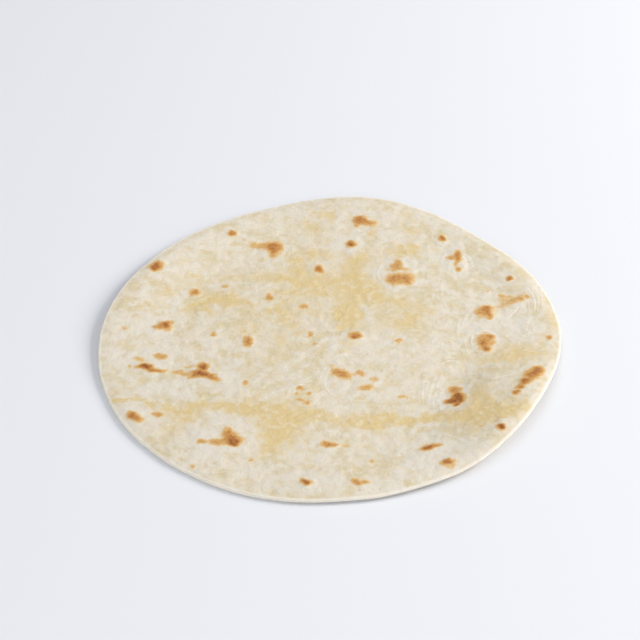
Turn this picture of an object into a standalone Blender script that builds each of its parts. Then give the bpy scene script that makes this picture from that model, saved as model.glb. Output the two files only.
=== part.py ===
"""A flour tortilla, eight inches across, lying flat with its limp rim lifted in places.

It is one closed body. Its upper and lower faces are two square grids of the same layout, each drawn
out into a disc, so that the triangles stay even and no point gathers them. A rounded rim joins them.
All sizes are in millimetres, and are turned to metres as the points are placed.
"""

import math

import bmesh
import bpy

MM = 0.001

# The sheet
MEAN_RADIUS = 101.6  # eight inches across
THICKNESS = 1.9  # in the middle
RIM_THICKNESS = 1.5
RIM_TAPER = 5.0  # how far in from the edge the sheet starts to thin
RIM_ROUND = 0.5  # how far the edge's middle line stands out from its two corners
UNEVEN = 0.12  # how much the pressed dough varies in thickness, either way
WAVE_X, WAVE_Y, WAVE_SLANT = 11.0, 14.0, 17.0  # the lengths of the waves in its thickness, over 2 pi

# The outline is a circle with soft bends: the direction of a bend's middle and how far round it runs
# each way, in degrees, and how far it pushes the edge outwards
EDGE_BENDS = (
    (11, 39, 4.2),
    (75, 38, 3.3),
    (126, 54, -5.2),
    (200, 54, 2.9),
    (280, 38, -2.4),
)
SHEET_MIDDLE = (0.8, 1.8)  # where the bends leave the middle of the outline's width and depth

# Where the rim lifts off the table: the direction of its middle and how far round it runs each way, in
# degrees; how far from the edge its crest lies, and the run of the slope that climbs to it; the height
# of the crest, and the share of that height that is left at the edge
SWELLS = (
    {"at": -32, "reach": 48, "crest_in": 4, "run": 38, "height": 3.7, "edge_share": 0.9},
    {"at": -33, "reach": 25, "crest_in": 3, "run": 20, "height": 1.2, "edge_share": 0.9},
    {"at": -31, "reach": 27, "crest_in": 22, "run": 18, "height": 2.1, "edge_share": 1.0},
    {"at": 26, "reach": 28, "crest_in": 6, "run": 18, "height": 1.6, "edge_share": 0.6},
    {"at": 150, "reach": 52, "crest_in": 1, "run": 34, "height": 3.6, "edge_share": 1.0},
    {"at": 88, "reach": 34, "crest_in": 6, "run": 26, "height": 0.9, "edge_share": 0.5},
    {"at": -78, "reach": 34, "crest_in": 7, "run": 22, "height": 1.2, "edge_share": 0.6},
)
SWELL_FADE = 1.4  # the power of the cosine by which a swell fades out round the rim

# Blisters that the griddle raised on the upper face: middle x and y, half length and half width, the
# turn of the length from +X in degrees, and height
BLISTERS = (
    (-27, 62, 8, 6, 10, 0.4),
    (-81, 46, 5, 4, 55, 0.32),
    (-46, 72, 4, 4, 0, 0.25),
    (-62, 30, 5, 4, -40, 0.25),
    (-75, 7, 6, 5, 20, 0.32),
    (-80, -20, 8, 5, -15, 0.4),
    (-55, -24, 9, 6, -20, 0.4),
    (-85, -51, 6, 5, -38, 0.32),
    (-47, -63, 21, 15, 8, 0.4),
    (-42, -65, 7, 6, 30, 0.32),
    (-36, -3, 4, 6, 0, 0.25),
    (-10, -38, 6, 8, 0, 0.25),
    (-5, 48, 4, 5, -20, 0.25),
    (11, 65, 4, 5, 0, 0.32),
    (18, 82, 8, 5, -10, 0.32),
    (33, 44, 10, 12, 0, 0.45),
    (54, 69, 4, 5, 0, 0.32),
    (60, 53, 6, 11, 0, 0.4),
    (72, 16, 7, 7, 0, 0.4),
    (86, 22, 8, 5, 35, 0.4),
    (70, -5, 6, 8, 0, 0.45),
    (88, -31, 10, 5, 52, 0.4),
    (53, -41, 7, 9, 10, 0.25),
    (74, -59, 4, 4, 0, 0.25),
    (43, -71, 7, 4, 18, 0.32),
    (50, -80, 5, 4, 0, 0.32),
    (12, 0, 5, 5, 0, 0.32),
    (6, -24, 7, 5, -28, 0.25),
    (16, -31, 6, 4, 10, 0.25),
    (0, -67, 6, 4, -10, 0.32),
    (-10, -89, 4, 4, 0, 0.25),
    (12, -89, 6, 4, 0, 0.25),
)

# The underside's hollows, where the dough rose off the griddle: ovals laid out on a spiral that leaves
# the middle and the rim clear. They come in three sizes by turns.
HOLLOWS = 34
HOLLOW_CLEAR = 18.0  # how far from the middle they start
HOLLOW_END = 12.0  # how far from the edge they end
HOLLOW_HALF_LENGTH = 6.5
HOLLOW_SLIMNESS = 0.8  # half width over half length
HOLLOW_SIZES = 0.2  # by what share the large ones are larger, and the small ones smaller
HOLLOW_DEPTH = 0.4
GOLDEN_TURN = math.pi * (3 - math.sqrt(5))

# The grids: cells along a side of each face, and how much closer the rings lie at the rim
CELLS = 50
RIM_CLOSENESS = 0.2


def smooth_step(t):
    """0 up to t = 0 and 1 from t = 1, with a level start and end."""
    t = min(max(t, 0.0), 1.0)
    return t * t * (3 - 2 * t)


def turned(angle, at, reach):
    """The turn from the direction `at` to an angle in radians, as a share of a reach in degrees."""
    return math.remainder(math.degrees(angle) - at, 360) / reach


def edge_radius(angle):
    """The outline: the mean radius and the bends, which fade to both sides as a squared cosine does."""
    radius = MEAN_RADIUS
    for at, reach, push in EDGE_BENDS:
        turn = turned(angle, at, reach)
        if abs(turn) < 1:
            radius += push * math.cos(turn * math.pi / 2) ** 2
    return radius


def lift(radius, angle):
    """How far the sheet stands off the table: each swell climbs to its crest, then falls to the edge."""
    edge = edge_radius(angle)
    height = 0.0
    for swell in SWELLS:
        turn = turned(angle, swell["at"], swell["reach"])
        if abs(turn) >= 1:
            continue
        along = math.cos(turn * math.pi / 2) ** SWELL_FADE
        crest = edge - swell["crest_in"]
        share = smooth_step((radius - crest + swell["run"]) / swell["run"])
        if radius > crest:
            fall = smooth_step((radius - crest) / swell["crest_in"])
            share = 1 - (1 - swell["edge_share"]) * fall
        height += swell["height"] * along * share
    return height


def dome(x, y, middle, half_length, half_width, turn):
    """A round-topped oval bump: 1 in its middle, 0 from its edge on."""
    along = math.cos(turn) * (x - middle[0]) + math.sin(turn) * (y - middle[1])
    across = math.cos(turn) * (y - middle[1]) - math.sin(turn) * (x - middle[0])
    away = (along / half_length) ** 2 + (across / half_width) ** 2
    return smooth_step(1 - away)


def blisters(x, y):
    """The upper face's blisters. Where two meet, the taller one shows."""
    return max(
        height * dome(x, y, (bx, by), half_length, half_width, math.radians(turn))
        for bx, by, half_length, half_width, turn, height in BLISTERS
    )


def dough(x, y):
    """Long crossing waves in the thickness, as a press and a griddle leave it."""
    crossing = math.sin(x / WAVE_X + 0.7) * math.cos(y / WAVE_Y - 0.4)
    slanting = math.sin((x + 2 * y) / WAVE_SLANT)
    return UNEVEN * crossing + UNEVEN / 2 * slanting


def hollows(x, y):
    """The underside's hollows, on a sunflower spiral that starts outside the clear middle."""
    end = MEAN_RADIUS - HOLLOW_END
    deepest = 0.0
    for number in range(HOLLOWS):
        share = (number + 0.5) / HOLLOWS
        radius = math.sqrt(HOLLOW_CLEAR**2 + share * (end**2 - HOLLOW_CLEAR**2))
        angle = number * GOLDEN_TURN
        middle = (radius * math.cos(angle), radius * math.sin(angle))
        length = HOLLOW_HALF_LENGTH * (1 + HOLLOW_SIZES * (number % 3 - 1))
        deepest = max(deepest, dome(x, y, middle, length, HOLLOW_SLIMNESS * length, angle))
    return HOLLOW_DEPTH * deepest


def disc_place(across, up):
    """The place in a round disc of a place in the square from -1 to 1.

    Each square ring becomes a circle, and its four sides become four quarter turns.
    """
    if across == 0 and up == 0:
        return 0.0, 0.0
    if abs(across) > abs(up):
        reach = across
        angle = math.pi / 4 * up / across
    else:
        reach = up
        angle = math.pi / 2 - math.pi / 4 * across / up
    angle += math.pi if reach < 0 else 0.0
    ring = abs(reach)
    return ring * (1 + RIM_CLOSENESS * (1 - ring * ring)), angle


def sheet_place(ring, angle):
    """Radius in millimetres of a ring: round in the middle, and the outline at the edge."""
    edge = edge_radius(angle) - RIM_ROUND
    return ring * (MEAN_RADIUS + (edge - MEAN_RADIUS) * ring * ring)


def upper_height(radius, angle):
    """The upper face: the lift, the thickness there and the blisters."""
    x = radius * math.cos(angle)
    y = radius * math.sin(angle)
    inland = smooth_step((edge_radius(angle) - radius) / RIM_TAPER)
    thickness = RIM_THICKNESS + (THICKNESS - RIM_THICKNESS) * inland
    return lift(radius, angle) + thickness + inland * (dough(x, y) + blisters(x, y))


def lower_height(radius, angle):
    """The lower face: the lift and the hollows, which end before the rim."""
    x = radius * math.cos(angle)
    y = radius * math.sin(angle)
    inland = smooth_step((edge_radius(angle) - radius) / RIM_TAPER)
    return lift(radius, angle) + inland * hollows(x, y)


def add_face(mesh, height_of):
    """One face of the sheet, as a square grid drawn out into the disc. It gives the face's vertices."""
    grid = bmesh.ops.create_grid(mesh, x_segments=CELLS, y_segments=CELLS, size=1.0)["verts"]
    for vertex in grid:
        ring, angle = disc_place(round(vertex.co.x, 9), round(vertex.co.y, 9))
        radius = sheet_place(ring, angle)
        vertex.co = (
            radius * math.cos(angle) * MM,
            radius * math.sin(angle) * MM,
            height_of(radius, angle) * MM,
        )
    return grid


def edge_round(vertices):
    """The vertices on a face's open edge, in order round the sheet."""
    outer = [vertex for vertex in vertices if vertex.is_boundary]
    return sorted(outer, key=lambda vertex: math.atan2(vertex.co.y, vertex.co.x))


def add_rim(mesh, upper, lower):
    """The rounded edge: a ring half way down that stands out a little, joined to both faces."""
    above = edge_round(upper)
    below = edge_round(lower)
    ring = []
    for vertex in above:
        angle = math.atan2(vertex.co.y, vertex.co.x)
        radius = edge_radius(angle)
        middle = lift(radius, angle) + RIM_THICKNESS / 2
        place = (radius * math.cos(angle) * MM, radius * math.sin(angle) * MM, middle * MM)
        ring.append(mesh.verts.new(place))
    for top, bottom in ((above, ring), (ring, below)):
        for k in range(len(ring)):
            mesh.faces.new((top[k - 1], bottom[k - 1], bottom[k], top[k]))


def browned_dough():
    """Soft, dry, pale cream dough."""
    material = bpy.data.materials.new("griddled wheat dough")
    material.use_nodes = True
    surface = material.node_tree.nodes["Principled BSDF"]
    surface.inputs["Base Color"].default_value = (0.72, 0.62, 0.46, 1.0)
    surface.inputs["Roughness"].default_value = 0.75
    surface.inputs["Metallic"].default_value = 0.0
    return material


def make_tortilla():
    """The tortilla, at its place at rest: the table is at Z = 0, and its middle is on the Z axis."""
    mesh = bmesh.new()
    upper = add_face(mesh, upper_height)
    lower = add_face(mesh, lower_height)
    add_rim(mesh, upper, lower)
    to_middle = (-SHEET_MIDDLE[0] * MM, -SHEET_MIDDLE[1] * MM, 0)
    bmesh.ops.translate(mesh, verts=mesh.verts[:], vec=to_middle)
    bmesh.ops.triangulate(mesh, faces=mesh.faces[:])
    bmesh.ops.recalc_face_normals(mesh, faces=mesh.faces[:])
    data = bpy.data.meshes.new("tortilla")
    mesh.to_mesh(data)
    mesh.free()
    data.shade_smooth()
    data.materials.append(browned_dough())
    tortilla = bpy.data.objects.new("tortilla", data)
    bpy.context.collection.objects.link(tortilla)
    return tortilla


for old in list(bpy.data.objects):
    bpy.data.objects.remove(old)

make_tortilla()
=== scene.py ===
# %% [markdown]
# # A flour tortilla, fresh off the griddle
#
# A tortilla is a thin sheet of wheat dough, pressed out and baked for a minute on a bare hot plate. It
# comes out limp, pale and dry, with low blisters. Only what stood up and touched the plate is toasted.
# This lesson makes one in three layers of detail: the outline and the way the limp rim lies, then the
# blisters and creases, then the colours of the dough.
#
# It knows the solid model that this visual model stands in for.

# %% The frame
import math

import bpy
import numpy as np
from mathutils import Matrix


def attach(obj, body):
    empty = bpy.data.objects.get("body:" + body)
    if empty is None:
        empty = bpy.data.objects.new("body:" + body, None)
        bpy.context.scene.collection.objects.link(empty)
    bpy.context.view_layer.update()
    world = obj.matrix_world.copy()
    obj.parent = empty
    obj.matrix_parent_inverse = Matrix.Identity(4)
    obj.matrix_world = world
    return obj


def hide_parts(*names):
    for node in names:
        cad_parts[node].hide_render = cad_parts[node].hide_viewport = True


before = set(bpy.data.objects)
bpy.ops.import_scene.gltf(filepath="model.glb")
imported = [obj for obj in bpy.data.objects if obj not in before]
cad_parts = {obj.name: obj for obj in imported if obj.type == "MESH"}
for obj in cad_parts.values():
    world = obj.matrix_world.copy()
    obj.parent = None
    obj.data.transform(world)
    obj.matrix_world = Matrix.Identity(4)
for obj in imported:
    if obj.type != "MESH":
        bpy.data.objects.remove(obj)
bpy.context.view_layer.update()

# %% [markdown]
# ## One unit for every size
#
# Dough is measured in millimetres, and Blender works in metres. Everything below is in millimetres,
# and one factor turns it to metres where it goes into Blender.

# %% Units
MM = 0.001
print("a millimetre is", MM, "of Blender's units")

# %% [markdown]
# ## The camera
#
# The photograph looks down from 42 degrees through a long lens, so the far rim is hardly smaller than
# the near one. The camera is placed by that angle, a distance and the point that it looks at.

# %% Camera
VIEW_DOWN = math.radians(42)
CAMERA_DISTANCE = 830
LOOKS_AT = (-4.8, 12.0, 0.0)
LENS = 102

camera_data = bpy.data.cameras.new("camera")
camera_data.lens = LENS
camera_data.sensor_width = 36
camera = bpy.data.objects.new("camera", camera_data)
camera.location = (
    LOOKS_AT[0] * MM,
    (LOOKS_AT[1] - CAMERA_DISTANCE * math.cos(VIEW_DOWN)) * MM,
    (LOOKS_AT[2] + CAMERA_DISTANCE * math.sin(VIEW_DOWN)) * MM,
)
camera.rotation_euler = (math.pi / 2 - VIEW_DOWN, 0, 0)
bpy.context.scene.collection.objects.link(camera)
bpy.context.scene.camera = camera
bpy.context.scene.view_settings.view_transform = "Standard"
print("camera at", tuple(round(v, 3) for v in camera.location))

# %% [markdown]
# ## Colours as they are written on a screen
#
# A colour read off a picture is an sRGB value, which is not in proportion to light. Blender's shaders
# work with linear values. One function turns a hex colour to a linear one, and all colours go
# through it.


# %% Colour
def linear(hex_colour):
    """Each sRGB channel c from 0 to 1 becomes c / 12.92 when dark, else ((c + 0.055) / 1.055) ^ 2.4."""
    channels = np.array([int(hex_colour[i : i + 2], 16) / 255 for i in (1, 3, 5)])
    light = np.where(channels <= 0.04045, channels / 12.92, ((channels + 0.055) / 1.055) ** 2.4)
    return (*light.tolist(), 1.0)


print("mid grey #808080 is", round(linear("#808080")[0], 3), "in linear light")

# %% [markdown]
# ## Floor and light
#
# The tortilla lies on a plain pale floor in the light of a bright kitchen: one large soft lamp on the
# right and behind, like a window, a wide one overhead, a third in front, and a pale sky all round.
# Large lamps give the soft shadows that show a swell of only a few millimetres. The floor lies a hair
# lower than the underside, because two faces in one plane would flicker.

# %% Stage
FLOOR_SIZE = 6000
FLOOR_GAP = 0.2
LAMPS = (  # name, place and size in millimetres, watts, colour
    ("window", (1500, 380, 850), 900, 30, "#FFFDFA"),
    ("ceiling", (-100, 900, 2200), 1800, 8.5, "#FFFFFF"),
    ("wall in front", (-500, -1500, 900), 1400, 13, "#FFFFFF"),
)
SKY_STRENGTH = 0.33

half = FLOOR_SIZE / 2 * MM
floor_mesh = bpy.data.meshes.new("floor")
floor_mesh.from_pydata(
    [(-half, -half, 0), (half, -half, 0), (half, half, 0), (-half, half, 0)], [], [(0, 1, 2, 3)]
)
floor = bpy.data.objects.new("floor", floor_mesh)
floor.location.z = -FLOOR_GAP * MM
bpy.context.scene.collection.objects.link(floor)

floor_paint = bpy.data.materials.new("matt white paint on a smooth board")
floor_paint.use_nodes = True
floor_shader = floor_paint.node_tree.nodes["Principled BSDF"]
floor_shader.inputs["Base Color"].default_value = linear("#EDEFF4")
floor_shader.inputs["Roughness"].default_value = 0.8
floor_mesh.materials.append(floor_paint)


def soft_lamp(name, place, size, watts, colour):
    """A square lamp at a place in millimetres, turned to face the middle of the tortilla."""
    data = bpy.data.lights.new(name, "AREA")
    data.shape = "SQUARE"
    data.size = size * MM
    data.energy = watts
    data.color = linear(colour)[:3]
    lamp = bpy.data.objects.new(name, data)
    lamp.location = [v * MM for v in place]
    tilt = math.acos(place[2] / math.hypot(*place))
    lamp.rotation_euler = (tilt, 0, math.atan2(place[0], -place[1]))
    bpy.context.scene.collection.objects.link(lamp)


for row in LAMPS:
    soft_lamp(*row)

world = bpy.data.worlds.new("pale room")
world.use_nodes = True
world.node_tree.nodes["Background"].inputs["Color"].default_value = linear("#F2F5FA")
world.node_tree.nodes["Background"].inputs["Strength"].default_value = SKY_STRENGTH
bpy.context.scene.world = world

# %% [markdown]
# ## The outline
#
# Pressed dough never comes out as a true circle. The outline is a circle with five soft bends: each
# pushes a stretch of the rim out or draws it in by a few millimetres, and fades out to both sides as
# a squared cosine does. It is a function of the direction, so numpy can ask it for a whole array.

# %% Outline
MEAN_RADIUS = 101.6
EDGE_BENDS = (  # direction of its middle, how far round it runs each way (degrees), push outwards
    (11, 39, 4.2),
    (75, 38, 3.3),
    (126, 54, -5.2),
    (200, 54, 2.9),
    (280, 38, -2.4),
)
SHEET_MIDDLE = (0.8, 1.8)  # where the bends leave the middle of the outline's width and depth


def turned(angle, at):
    """The turn from the direction `at` to an angle in radians, in degrees between -180 and 180."""
    return (np.degrees(angle) - at + 180) % 360 - 180


def outline(angle):
    """The mean radius plus, for each bend, push x cos^2 of its share of a quarter turn."""
    radius = np.full_like(angle, MEAN_RADIUS)
    for at, reach, push in EDGE_BENDS:
        radius += push * np.cos(np.clip(turned(angle, at) / reach, -1, 1) * math.pi / 2) ** 2
    return radius


directions = np.radians(np.arange(0.0, 360.0))
print("the outline's radius runs from", outline(directions).min().round(1), "to", end=" ")
print(outline(directions).max().round(1), "mm")

# %% [markdown]
# ## How the limp sheet lies
#
# The middle lies flat on the table. Near the rim the sheet swells up in places, where it dried a
# little faster on the plate. Each swell climbs from the flat middle to a crest near the rim, and from
# there it falls a little to the edge. Round the rim it fades out as a power of a cosine does. At the
# front right three swells lie over each other. The third has its crest far in and keeps its height out
# to the edge, so that the flank there is steep and the lip above it is nearly level.

# %% Swells
# at and reach: the direction of its middle and how far round it runs each way, in degrees; crest_in: how
# far in from the edge its crest lies; run: the slope up to the crest; edge_share: what is left of the
# crest's height at the edge
SWELLS = (
    {"at": -32, "reach": 48, "crest_in": 4, "run": 38, "height": 3.7, "edge_share": 0.9},
    {"at": -33, "reach": 25, "crest_in": 3, "run": 20, "height": 1.2, "edge_share": 0.9},
    {"at": -31, "reach": 27, "crest_in": 22, "run": 18, "height": 2.1, "edge_share": 1.0},
    {"at": 26, "reach": 28, "crest_in": 6, "run": 18, "height": 1.6, "edge_share": 0.6},
    {"at": 150, "reach": 52, "crest_in": 1, "run": 34, "height": 3.6, "edge_share": 1.0},
    {"at": 88, "reach": 34, "crest_in": 6, "run": 26, "height": 0.9, "edge_share": 0.5},
    {"at": -78, "reach": 34, "crest_in": 7, "run": 22, "height": 1.2, "edge_share": 0.6},
)
SWELL_FADE = 1.4  # the power of the cosine by which a swell fades out round the rim


def smooth_step(t):
    """3 t^2 - 2 t^3 for t between 0 and 1: a rise with a level start and end."""
    t = np.clip(t, 0, 1)
    return t * t * (3 - 2 * t)


def lift(radius, angle):
    """The sum, over the swells, of height x fade round the rim x climb to the crest or fall behind it."""
    height = np.zeros_like(radius)
    for swell in SWELLS:
        turn = np.clip(turned(angle, swell["at"]) / swell["reach"], -1, 1)
        fade = np.cos(turn * math.pi / 2) ** SWELL_FADE
        crest = outline(angle) - swell["crest_in"]
        climb = smooth_step((radius - crest + swell["run"]) / swell["run"])
        fall = (1 - swell["edge_share"]) * smooth_step((radius - crest) / swell["crest_in"])
        height += swell["height"] * fade * np.where(radius > crest, 1 - fall, climb)
    return height


print("the edge stands up to", lift(outline(directions), directions).max().round(1), "mm off the table")

# %% [markdown]
# ## From the photograph to the sheet
#
# The spots below were read off the photograph as if the sheet were flat. Where the sheet is lifted,
# the camera sees a spot further back than it is, by the height times the cotangent of the camera's
# angle. This function moves each spot to its place on the lifted sheet. The height there depends on
# the place, so it goes round three times.


# %% Places
def on_sheet(spots):
    """Rows of numbers that start with x and y as seen. The y moves forward by height x cot(view angle)."""
    rows = np.array(spots, dtype=float)
    seen_y = rows[:, 1].copy()
    for _ in range(3):
        radius, angle = np.hypot(rows[:, 0], rows[:, 1]), np.arctan2(rows[:, 1], rows[:, 0])
        rows[:, 1] = seen_y - lift(radius, angle) / math.tan(VIEW_DOWN)
    return rows


print("a spot seen at (89, -24) lies at", on_sheet([(89, -24)])[0].round(1))

# %% [markdown]
# ## Blisters
#
# Steam lifts the dough into low blisters. Most are one or two centimetres across, and none is half a
# millimetre high. Their places and heights are the solid model's, so that both have the same relief.

# %% Blisters
BLISTERS = (  # x, y, half length, half width, turn in degrees, height
    (-27, 62, 8, 6, 10, 0.4),
    (-81, 46, 5, 4, 55, 0.32),
    (-46, 72, 4, 4, 0, 0.25),
    (-62, 30, 5, 4, -40, 0.25),
    (-75, 7, 6, 5, 20, 0.32),
    (-80, -20, 8, 5, -15, 0.4),
    (-55, -24, 9, 6, -20, 0.4),
    (-85, -51, 6, 5, -38, 0.32),
    (-47, -63, 21, 15, 8, 0.4),
    (-42, -65, 7, 6, 30, 0.32),
    (-36, -3, 4, 6, 0, 0.25),
    (-10, -38, 6, 8, 0, 0.25),
    (-5, 48, 4, 5, -20, 0.25),
    (11, 65, 4, 5, 0, 0.32),
    (18, 82, 8, 5, -10, 0.32),
    (33, 44, 10, 12, 0, 0.45),
    (54, 69, 4, 5, 0, 0.32),
    (60, 53, 6, 11, 0, 0.4),
    (72, 16, 7, 7, 0, 0.4),
    (86, 22, 8, 5, 35, 0.4),
    (70, -5, 6, 8, 0, 0.45),
    (88, -31, 10, 5, 52, 0.4),
    (53, -41, 7, 9, 10, 0.25),
    (74, -59, 4, 4, 0, 0.25),
    (43, -71, 7, 4, 18, 0.32),
    (50, -80, 5, 4, 0, 0.32),
    (12, 0, 5, 5, 0, 0.32),
    (6, -24, 7, 5, -28, 0.25),
    (16, -31, 6, 4, 10, 0.25),
    (0, -67, 6, 4, -10, 0.32),
    (-10, -89, 4, 4, 0, 0.25),
    (12, -89, 6, 4, 0, 0.25),
)


def oval_distance(x, y, ovals):
    """How far out each point lies of each oval: 0 in its middle, 1 on its edge.

    It is the length of the point's place along the oval's own axes, each divided by its half length.
    """
    middle_x, middle_y, half_length, half_width, turn = (column[:, None] for column in ovals.T[:5])
    cos_turn, sin_turn = np.cos(np.radians(turn)), np.sin(np.radians(turn))
    along = cos_turn * (x - middle_x) + sin_turn * (y - middle_y)
    across = cos_turn * (y - middle_y) - sin_turn * (x - middle_x)
    return np.hypot(along / half_length, across / half_width)


def blisters(x, y):
    """Each dome is height x smooth_step(1 - distance^2). Where two meet, the taller one shows."""
    ovals = np.array(BLISTERS, dtype=float)
    return (ovals[:, 5:] * smooth_step(1 - oval_distance(x, y, ovals) ** 2)).max(axis=0)


print(len(BLISTERS), "blisters, the highest", max(row[5] for row in BLISTERS), "mm")

# %% [markdown]
# ## Unevenness from a sum of waves
#
# Dough is uneven at every size. A sum of plane waves in random directions, all of about one length,
# makes a smooth random field in one line of numpy, and a seed makes it the same each time. It is used
# for relief, and also to bend the outlines of the spots, which are never true ovals. Where a field has
# layers, each is a row with its size, the length of its waves in millimetres and its seed.

# %% Random fields
WAVES = 28
LENGTH_SPREAD = (0.7, 1.5)  # the shortest and the longest wave's length, over the length asked for


def rolling(x, y, length, seed):
    """The sum of plane waves cos(k . p + phase), random in direction and phase, scaled to a spread of 1."""
    draw = np.random.default_rng(seed)
    heading = draw.uniform(0, 2 * math.pi, WAVES)
    wave_number = 2 * math.pi / (length * draw.uniform(*LENGTH_SPREAD, WAVES))
    phase = draw.uniform(0, 2 * math.pi, WAVES)
    travel = np.outer(x, wave_number * np.cos(heading)) + np.outer(y, wave_number * np.sin(heading))
    return math.sqrt(2 / WAVES) * np.cos(travel + phase).sum(axis=1)


def layered(x, y, layers):
    """The sum, over the layers, of size x a rolling field of that length and seed."""
    return sum(size * rolling(x, y, length, seed) for size, length, seed in layers)


sample = rolling(np.linspace(-100, 100, 500), np.zeros(500), 9, seed=1)
print("a random field runs from", sample.min().round(2), "to", sample.max().round(2))

# %% [markdown]
# ## The sheet's two faces
#
# Both faces are square grids drawn out into a disc, ring by ring. The cells stay even all over, and no
# point gathers them as the middle of a polar grid would. Two fields are worked out with the grid: how
# far inland a point lies, because the sheet is thinner at its rim, and how pale the edge is painted.
# The thinnest dough at the edge dried through and turned pale, and the pale band is also a painted
# highlight along the rim.

# %% Grid
CELLS = 214  # along a side of each face
RIM_ROUND = 0.5  # how far the edge's round stands out from both faces
RIM_TAPER = 5.0  # how far in from the edge the sheet starts to thin
RIM_DRY_AND_HIGHLIGHT = 1.2  # how far in from the edge the dough dried pale
# The pale band at the edge is dried dough, and also a painted highlight along the rim.
RIM_CLOSENESS = 0.2  # with 0 the rings would be evenly spaced, and with more they lie closer at the rim
WITHIN_SOLID = 0.1  # how far the outline stays inside the solid model's
EDGE_NIBBLE = 0.35  # how far the fine unevenness cuts in at most
EDGE_LAYERS = ((0.7, 22, 2), (0.3, 6, 3))


def edge_radius(angle):
    """The outline, kept a little inside the solid's, less a fine random unevenness that only cuts in.

    The random field's values from -2 to 2 become cuts from 0 to the deepest.
    """
    x, y = MEAN_RADIUS * np.cos(angle), MEAN_RADIUS * np.sin(angle)
    cut = np.clip(0.5 + 0.25 * layered(x, y, EDGE_LAYERS), 0, 1)
    return outline(angle) - WITHIN_SOLID - EDGE_NIBBLE * cut


def disc_grid():
    """The radius and the angle of every grid point.

    A square from -1 to 1 becomes a disc. The larger of a point's two coordinates is its ring, and the
    ratio of the two turns it by up to an eighth of a turn either way of its side's middle.
    """
    side = np.linspace(-1, 1, CELLS + 1)
    across, up = np.meshgrid(side, side)
    wide = np.abs(across) > np.abs(up)
    reach = np.where(wide, across, up)
    ratio = np.where(wide, up, across) / np.where(reach == 0, 1, reach)
    angle = np.where(wide, math.pi / 4 * ratio, math.pi / 2 - math.pi / 4 * ratio)
    angle = (angle + np.where(reach < 0, math.pi, 0)).ravel()
    ring = np.abs(reach).ravel()
    ring = ring * (1 + RIM_CLOSENESS * (1 - ring**2))
    radius = ring * (MEAN_RADIUS + (edge_radius(angle) - RIM_ROUND - MEAN_RADIUS) * ring**2)
    return radius, angle


radius, angle = disc_grid()
x, y = radius * np.cos(angle), radius * np.sin(angle)
inland = smooth_step((edge_radius(angle) - radius) / RIM_TAPER)
# How pale the edge is painted: dried dough, and a painted highlight along the rim.
dried_edge_and_highlight = smooth_step(1 - (edge_radius(angle) - RIM_ROUND - radius) / RIM_DRY_AND_HIGHLIGHT)
print(len(x), "points on each face, about", round(2 * MEAN_RADIUS / CELLS, 2), "mm apart")

# %% [markdown]
# ## Toasted spots
#
# Each spot is an oval, or a few that overlap, with a strength from 0 (not toasted) to 1 (dark). An
# oval is soft: its strength falls with the distance as a bell does. Where ovals overlap, what is left
# untoasted multiplies, so that no sum goes over 1. Before that, random fields bend the sheet's
# coordinates by up to about a millimetre, and so every outline is bent.

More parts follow.
